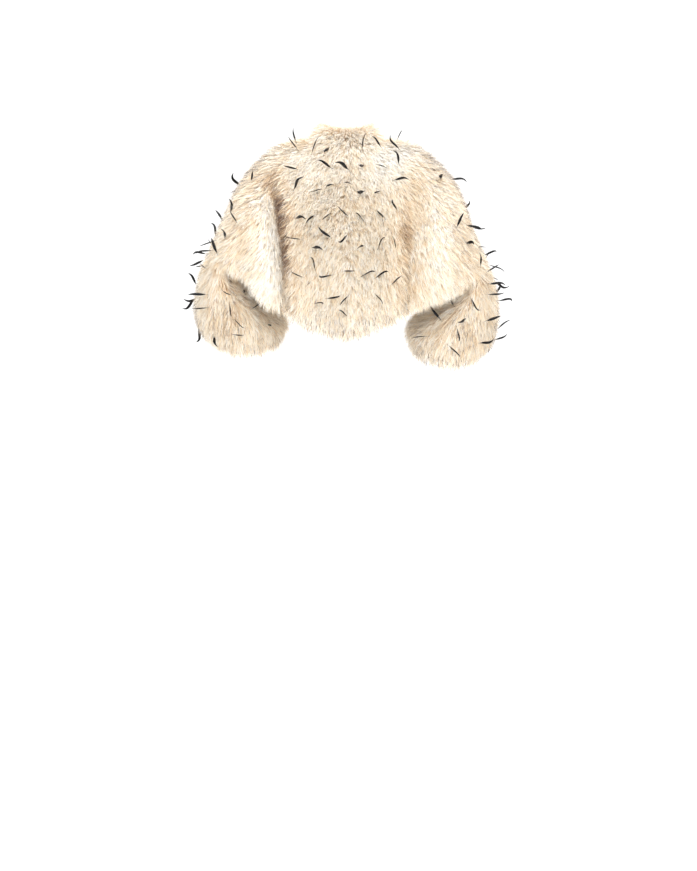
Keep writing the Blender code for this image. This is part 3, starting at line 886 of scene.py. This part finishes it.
def collar_skin(rings):
    rows = []
    for ring in rings:
        middle = sum(ring, Vector()) / len(ring)
        away = (middle - Vector((0, COLLAR_CENTRE_Y, middle.z))).normalized()
        for point, (outwards, upwards, reach) in zip(ring, COLLAR_LAY):
            lay = (away * outwards + Vector((0, 0, upwards))).normalized()
            rows.append((point - middle, tuple(lay), COLLAR_TONE, reach, TIPPED))
    return skin_mesh("collar", rings, rows)


skins = {panel.name: panel_skin(panel) for panel in (back, front_left, front_right)}
for panel in (sleeve_left, sleeve_right):
    skins[f"{panel.name}_low"] = panel_skin(panel, 0, JOIN_COLUMN)
    skins[f"{panel.name}_high"] = panel_skin(panel, JOIN_COLUMN)
skins["collar"] = collar_skin(collar_outer)
for name, mesh in skins.items():
    print("skin", name, round(sum(face.area for face in mesh.polygons), 3), "m2")

# %% [markdown]
# ## Hair: one blade
#
# A hair is a flat blade with a bend: a root edge, a middle edge and a tip, so three
# triangles, because there are hundreds of thousands. It is one unit long, wide and bent,
# and the node tree scales it. Its UV map runs from root to tip in u. The tree moves each
# hair's v to its own tone, so one map holds the colour of all of them.

# %% One blade
BLADE_MIDDLE = 0.52       # where the blade bends, as a share of its length
BLADE_TAPER = 0.86        # its width there against its root
UV_HAIR = 0.012           # the height of one hair on the map
UV_LOW, UV_SPAN = 0.04, 0.80       # where on the map's height the tones are
UV_TIPPED = 0.92                   # and where the hairs with brown tips are


def blade():
    """The unit blade: along z, its width along y, its bend along x."""
    half = 0.5
    points = [(0, -half, 0), (0, half, 0), (1, half * BLADE_TAPER, BLADE_MIDDLE),
              (1, -half * BLADE_TAPER, BLADE_MIDDLE), (0, 0, 1)]
    across = [-1, 1, 1, -1, 0]
    mesh = bpy.data.meshes.new("blade")
    mesh.from_pydata(points, [], [(0, 1, 2, 3), (3, 2, 4)])
    uv = mesh.uv_layers.new(name="OFBake")
    for corner in mesh.loops:
        number = corner.vertex_index
        uv.data[corner.index].uv = (points[number][2], across[number] * UV_HAIR / 2)
    mesh.shade_smooth()
    return link_object("blade", mesh)


blade_object = blade()
print("a blade has", len(blade_object.data.vertices), "points")

# %% [markdown]
# ## Pile: the node tree
#
# The tree scatters points over a skin, finds each point's lock with a Voronoi pattern,
# and turns a blade to the skin's lay, to its lock's middle and a little at random, so
# the hairs of a lock meet at their tips. Its sizes are named inputs, so each panel's
# modifier can have its own. It ends in Realize Instances and Set Material.

# %% Pile: build the tree
PILE_INPUTS = {             # socket type: the inputs of that type
    "Object": ("Blade",), "Material": ("Material",), "Int": ("Seed",),
    "Float": ("Density", "Length", "Width", "Bend", "Spread", "Lock size", "Lock pull"),
}
LENGTHS, WIDTHS, BENDS = (0.62, 1.12), (0.6, 1.2), (-0.3, 1.6)  # shares of the sizes above
LOCK_SPREAD = 1.5         # how far a lock strays, against one hair
TWIST = 0.55              # how far a blade's face turns away from the skin's
LOCK_TONES, OWN_TONES = 0.40, 0.20  # how much the locks' and the hairs' tones differ


def random_number(graph, limits, seed):
    sockets = {2: limits[0], 3: limits[1], 8: seed}
    return graph.add("FunctionNodeRandomValue", {"data_type": "FLOAT"}, sockets)[1]


def random_way(graph, size, seed):
    """A random vector of up to a size each way."""
    sockets = {0: (-1.0,) * 3, 1: (1.0,) * 3, 8: seed}
    way = graph.add("FunctionNodeRandomValue", {"data_type": "FLOAT_VECTOR"}, sockets)[0]
    return graph.vectors("SCALE", way, size)


def named(graph, name, kind="FLOAT"):
    node = graph.add("GeometryNodeInputNamedAttribute", {"data_type": kind}, {"Name": name})
    return node["Attribute"]


def store(graph, geometry, kind, domain, name, value):
    node = graph.add("GeometryNodeStoreNamedAttribute", {"data_type": kind, "domain": domain},
                     {"Geometry": geometry, "Name": name, "Value": value})
    return node["Geometry"]


def pile_tree():
    tree = bpy.data.node_groups.new("pile", "GeometryNodeTree")
    new_socket = tree.interface.new_socket
    new_socket("Geometry", in_out="OUTPUT", socket_type="NodeSocketGeometry")
    for kind, names in {"Geometry": ("Geometry",), **PILE_INPUTS}.items():
        for name in names:
            new_socket(name, in_out="INPUT", socket_type=f"NodeSocket{kind}")
    graph = Graph(tree)
    given = graph.add("NodeGroupInput")
    seed, spread = given["Seed"], given["Spread"]

    # Where the hairs stand, and the lock that each belongs to.
    scatter = graph.add("GeometryNodeDistributePointsOnFaces", {"distribute_method": "RANDOM"},
                        {"Mesh": given["Geometry"], "Density": given["Density"], "Seed": seed})
    place = graph.add("GeometryNodeInputPosition")["Position"]
    sockets = {"Vector": place, "Scale": 1.0 / given["Lock size"]}
    lock = graph.add("ShaderNodeTexVoronoi", None, sockets)

    # How each one leans and turns, and its sizes.
    to_lock = graph.vectors("SUBTRACT", lock["Position"], place)
    lock_way = graph.vectors("SUBTRACT", lock["Color"], (0.5, 0.5, 0.5))
    lay = named(graph, "lay", "FLOAT_VECTOR")
    for way in (graph.vectors("SCALE", to_lock, given["Lock pull"] / given["Length"]),
                graph.vectors("SCALE", lock_way, spread * LOCK_SPREAD),
                random_way(graph, spread, seed + 1)):
        lay = graph.vectors("ADD", lay, way)
    away = graph.vectors("ADD", scatter["Normal"], random_way(graph, TWIST, seed + 2))
    turned = graph.add("FunctionNodeAxesToRotation", {"primary_axis": "Z", "secondary_axis": "X"},
                       {"Primary Axis": lay, "Secondary Axis": away})["Rotation"]
    length = given["Length"] * named(graph, "length") * random_number(graph, LENGTHS, seed + 3)
    width = given["Width"] * random_number(graph, WIDTHS, seed + 4)
    bend = given["Bend"] * random_number(graph, BENDS, seed + 5)
    source = graph.add("GeometryNodeObjectInfo", None, {"Object": given["Blade"]})["Geometry"]
    hairs = graph.add("GeometryNodeInstanceOnPoints", None, {
        "Points": scatter["Points"], "Instance": source, "Rotation": turned,
        "Scale": graph.join(bend, width, length)})["Instances"]

    # Its tone, which moves its part of the UV map.
    lock_tone = (graph.parts(lock["Color"])["X"] - 0.5) * LOCK_TONES
    own_tone = random_number(graph, (-1.0, 1.0), seed + 6) * OWN_TONES
    # the skin's tone brings the spots' painted shade and painted light into each hair's colour
    tone = named(graph, "tone") + lock_tone + own_tone
    tone = graph.add("ShaderNodeClamp", None, {"Value": tone})["Result"] * UV_SPAN + UV_LOW
    chance = random_number(graph, (0.0, 1.0), seed + 7)
    is_tipped = chance.maths("LESS_THAN", named(graph, "tipped"))
    tone = tone + is_tipped * (UV_TIPPED - tone)
    toned = store(graph, hairs, "FLOAT", "INSTANCE", "hair_tone", tone)
    solid = graph.add("GeometryNodeRealizeInstances", None, {"Geometry": toned})["Geometry"]
    uv = graph.parts(named(graph, "OFBake", "FLOAT_VECTOR"))
    moved = graph.join(uv["X"], uv["Y"] + named(graph, "hair_tone"))
    mapped = store(graph, solid, "FLOAT2", "CORNER", "OFBake", moved)
    finished = graph.add("GeometryNodeSetMaterial", None,
                         {"Geometry": mapped, "Material": given["Material"]})
    graph.add("NodeGroupOutput", None, {"Geometry": finished["Geometry"]})
    return tree


pile = pile_tree()
print("pile tree:", len(pile.nodes), "nodes")

# %% [markdown]
# ## Pile: its colour
#
# The map's u runs from root to tip and its v is the hair's tone. Two ramps give the
# tips' and the roots' colours by tone, and u mixes them. The shader is rough, with a
# little sheen, because light runs along the sides of fine hairs.

# %% Pile: material
TIPS = ((0.00, (0.22, 0.125, 0.074)), (0.20, (0.56, 0.370, 0.215)),
        (0.40, (0.88, 0.705, 0.475)), (0.58, (0.945, 0.868, 0.722)),
        (0.78, (0.965, 0.932, 0.870)), (1.00, (0.975, 0.965, 0.94)))
ROOTS = ((0.00, (0.095, 0.050, 0.030)), (0.30, (0.52, 0.300, 0.150)),
         (0.60, (0.88, 0.620, 0.350)), (0.80, (0.93, 0.780, 0.570)), (1.00, (0.95, 0.880, 0.750)))
BROWN_TIP = (0.110, 0.066, 0.058, 1)
TIP_FROM, TIP_TO = 0.12, 0.66          # between these shares of a hair, root turns to tip
BROWN_FROM, BROWN_TO = 0.44, 0.68      # and cream turns to the brown of a tipped hair


def fur_material():
    made, graph, shader = new_material("fur_pile")
    along, height = graph.uv("OFBake")
    tone = (height - UV_LOW) * (1 / UV_SPAN)
    up = graph.rise(along, TIP_FROM, TIP_TO)
    hair = graph.mix(up, graph.ramp(tone, ROOTS), graph.ramp(tone, TIPS))
    tipped = height.maths("GREATER_THAN", UV_TIPPED - 0.02)
    brown = tipped * graph.rise(along, BROWN_FROM, BROWN_TO)
    graph.fill(shader, {"Base Color": graph.mix(brown, hair, BROWN_TIP), "Roughness": 0.62,
                        "Sheen Weight": 0.35, "Sheen Roughness": 0.45,
                        "Specular IOR Level": 0.35})
    return made


fur = fur_material()
print("material:", fur.name)

# %% Pile: grow it
PILE_DENSITY = 410_000    # hairs to a square metre
PILE_SIZES = {"Length": 37 * MM, "Width": 1.05 * MM, "Bend": 4.0 * MM, "Spread": 0.18,
              "Lock size": 5.0 * MM, "Lock pull": 0.40}
OWN_SIZES = {
    "back": {"Spread": 0.24, "Lock pull": 0.70},
    "collar": {"Width": 0.9 * MM, "Bend": 3.0 * MM},
}
DENSER = {"collar": 1.7, "back": 0.99, "front_left": 0.85, "front_right": 0.85}
FIRST_SEED = 11


def grow(name, skin, seed):
    """The pile of one skin as a plain mesh object."""
    ground = link_object(f"ground_{name}", skin)
    modifier = ground.modifiers.new("pile", "NODES")
    modifier.node_group = pile
    values = {"Blade": blade_object, "Material": fur, "Seed": seed,
              "Density": float(PILE_DENSITY * DENSER.get(name, 1.0)),
              **PILE_SIZES, **OWN_SIZES.get(name, {})}
    for socket in pile.interface.items_tree:
        if socket.in_out == "INPUT" and socket.name in values:
            modifier[socket.identifier] = values[socket.name]
    graph = bpy.context.evaluated_depsgraph_get()
    mesh = bpy.data.meshes.new_from_object(ground.evaluated_get(graph), depsgraph=graph)
    mesh.name = f"fur_{name}"
    for extra in ("hair_tone",) + VALUES:
        if extra in mesh.attributes:
            mesh.attributes.remove(mesh.attributes[extra])
    bpy.data.objects.remove(ground)
    return link_object(f"fur_{name}", mesh, fur)


def triangles(item):
    item.data.calc_loop_triangles()
    return len(item.data.loop_triangles)


pelts = {name: grow(name, skin, FIRST_SEED + number)
         for number, (name, skin) in enumerate(skins.items())}
bpy.data.objects.remove(blade_object)
for item in pelts.values():
    print(item.name, triangles(item), "triangles")

# %% [markdown]
# ## Feathers
#
# The black feathers are slim goose biots: a fine quill with a narrow vane, curved, and
# pointed at both ends. Each solid strand on a tape gives one's root, middle and tip. The
# feather curves through them and goes on below its root, down to the backing where it is
# tied. Its vane is cupped along the quill and widest before the middle.

# %% Feathers: where they are
TIP_SIDES = 4             # edges that meet at a strand's tip
TIP_NARROW = 0.8          # cosine of the widest angle between two of them


def merged_points(node):
    """A node's points with doubles merged, and which points share an edge with each."""
    copy = bmesh.new()
    copy.from_mesh(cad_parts[node].data)
    bmesh.ops.remove_doubles(copy, verts=copy.verts, dist=TINY)
    copy.verts.index_update()
    points = [vertex.co.copy() for vertex in copy.verts]
    beside = [{edge.other_vert(vertex).index for edge in vertex.link_edges}
              for vertex in copy.verts]
    copy.free()
    return points, beside


def strands(node):
    """Root, middle and tip of each strand on a tape. A tip is a point with four close sides."""
    points, beside = merged_points(node)
    found = []
    for tip, ring in enumerate(beside):
        ways = [(points[number] - points[tip]).normalized() for number in ring]
        if len(ring) != TIP_SIDES or min(a.dot(b) for a in ways for b in ways) < TIP_NARROW:
            continue
        root = set().union(*(beside[number] for number in ring)) - ring - {tip}
        root, middle = (sum((points[number] for number in part), Vector()) / len(part)
                        for part in (root, ring))
        found.append((root, middle, points[tip]))
    return found


tapes = sorted(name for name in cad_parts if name.startswith("feathers_"))
places = {name: strands(name) for name in tapes}
feather_count = sum(map(len, places.values()))
print("tapes:", len(tapes), "with", feather_count, "strands")

# %% Feathers: material
FEATHER_DARK, FEATHER_LIGHT = (0.002, 0.002, 0.0025), (0.016, 0.015, 0.016)
BARBS = 150               # how close the fine lines are along a feather
BARB_SLANT = 9            # how far they slant towards the tip
QUILL_EDGE, QUILL_CORE = 0.16, 0.04    # the quill's reach, as a share of the half width


def feather_material():
    made, graph, shader = new_material("goose_biot")
    along, height = graph.uv("OFBake")
    across = (height - 0.5).maths("ABSOLUTE") * 2
    barbs = (along * BARBS + across * BARB_SLANT).maths("SINE") * 0.5 + 0.5
    tone = barbs * 0.35 + graph.rise(across, QUILL_EDGE, QUILL_CORE) * 0.55
    graph.fill(shader, {
        "Base Color": graph.ramp(tone, ((0.0, FEATHER_DARK), (1.0, FEATHER_LIGHT))),
        "Roughness": barbs * 0.16 + 0.44, "Specular IOR Level": 0.22,
        "Sheen Weight": 0.03, "Sheen Roughness": 0.4})
    return made


black = feather_material()
print("material:", black.name)

# %% Feathers: shape
VANE_STEPS = 9
VANE_WIDTH = (6.0 * MM, 9.0 * MM)
VANE_CUP = 0.60           # how deep the vane is cupped, as a share of half its width
VANE_THICK = 0.25 * MM
VANE_ROLL = 0.5           # the most that a vane turns about its quill, in radians
QUILL_DEEP = 16 * MM      # how far it goes on below its root
QUILL_SHARE, BODY_SHARE = 0.18, 0.82   # bare share of its length, and the rest
QUILL_HALF = 0.10         # the bare part's width against the body's
POINT_WIDTH = 0.04        # the tip's width, as a share of what it would be
FEATHER_CURL = 0.34       # the most sideways curl, as a share of its length
UV_MARGIN, UV_HALF = 0.02, 0.46        # the vane's place on its map
OUTLINE = (0, 1, 2, 5, 4, 3)           # a vane's six points at a step, in turn


def feather_line(root, middle, tip, draw):
    """Places along a feather from below its root to its tip, with a sideways curl."""
    start = root - (middle - root).normalized() * QUILL_DEEP
    chord = tip - start
    side = chord.cross(middle - start)
    side = side.normalized() if side.length > 1e-9 else chord.orthogonal().normalized()
    curl = draw.uniform(-1, 1) * FEATHER_CURL * chord.length
    line = []
    for step in range(VANE_STEPS + 1):
        share = step / VANE_STEPS
        place = start.lerp(root.lerp(middle, 0.5), share).lerp(middle.lerp(tip, share), share)
        line.append(place + side * curl * math.sin(math.pi * share) * share)
    return line, side


def vane_half(share):
    """Half the vane's width along the feather: a thin quill, a slim body and a point."""
    if share < QUILL_SHARE:
        return QUILL_HALF
    along = (share - QUILL_SHARE) / BODY_SHARE
    body = math.sin(math.pi * min(along, 1) ** 0.72) ** 0.8
    return QUILL_HALF + (1 - QUILL_HALF) * body * (1 - 0.25 * along)


def add_feather(points, faces, uvs, root, middle, tip, draw):
    """One feather: two thin cupped sides that meet at the quill."""
    line, side = feather_line(root, middle, tip, draw)
    width = draw.uniform(*VANE_WIDTH) / 2
    roll = draw.uniform(-VANE_ROLL, VANE_ROLL)
    base = len(points)
    for step, place in enumerate(line):
        ahead = (line[min(step + 1, VANE_STEPS)] - line[max(step - 1, 0)]).normalized()
        flat = (side - ahead * side.dot(ahead)).normalized()
        up = ahead.cross(flat)
        flat, up = (flat * math.cos(roll) + up * math.sin(roll),
                    up * math.cos(roll) - flat * math.sin(roll))
        half = width * vane_half(step / VANE_STEPS) * (POINT_WIDTH if step == VANE_STEPS else 1)
        along = UV_MARGIN + (1 - 2 * UV_MARGIN) * step / VANE_STEPS
        for lift in (0, -VANE_THICK):
            for across in (-1, 0, 1):
                cup = up * (abs(across) * half * VANE_CUP + lift)
                points.append(place + flat * across * half + cup)
                uvs.append((along, 0.5 + across * UV_HALF))
    for step in range(VANE_STEPS):
        low, high = base + 6 * step, base + 6 * step + 6
        for a, b in zip(OUTLINE, OUTLINE[1:] + OUTLINE[:1]):
            faces.append((low + a, low + b, high + b, high + a))
    for end in (base, base + 6 * VANE_STEPS):
        faces += [(end, end + 1, end + 4, end + 3), (end + 1, end + 2, end + 5, end + 4)]


def feather_piece(node, draw):
    """All the feathers of one tape, as one object."""
    points, faces, uvs = [], [], []
    for strand in places[node]:
        add_feather(points, faces, uvs, *strand, draw)
    mesh = bpy.data.meshes.new(node)
    mesh.from_pydata([tuple(point) for point in points], [], faces)
    layer = mesh.uv_layers.new(name="OFBake")
    for corner in mesh.loops:
        layer.data[corner.index].uv = uvs[corner.vertex_index]
    build = bmesh.new()
    build.from_mesh(mesh)
    bmesh.ops.recalc_face_normals(build, faces=build.faces)
    build.to_mesh(mesh)
    build.free()
    shade(mesh)
    return link_object(node.replace("feathers", "biots"), mesh, black)


draw = random.Random(7)
biots = {name: feather_piece(name, draw) for name in tapes}
print("feathers:", feather_count, "with", sum(map(triangles, biots.values())), "triangles")

# %% Floor material
def floor_material():
    made, graph, shader = new_material("studio_floor")
    graph.fill(shader, {"Base Color": (0.9, 0.9, 0.9, 1),
                        "Roughness": graph.noise(3.0) * 0.2 + 0.6})
    return made


floor.data.materials.append(floor_material())
print("floor material is on")

# %% [markdown]
# ## Hand over
#
# Each piece rides on the one body, and the solid that it stands for is hidden. The pelts go
# with the cloth that they grow on.


def hand_over(item, node):
    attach(item, "root")
    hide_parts(node)


for name, item in cloth.items():
    grown = [pelt for part, pelt in pelts.items() if part.startswith(name)]
    for piece in [item] + grown:
        hand_over(piece, name)
for node, item in biots.items():
    hand_over(item, node)
print("pieces:", len(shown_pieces()), "triangles:", sum(map(triangles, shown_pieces())))
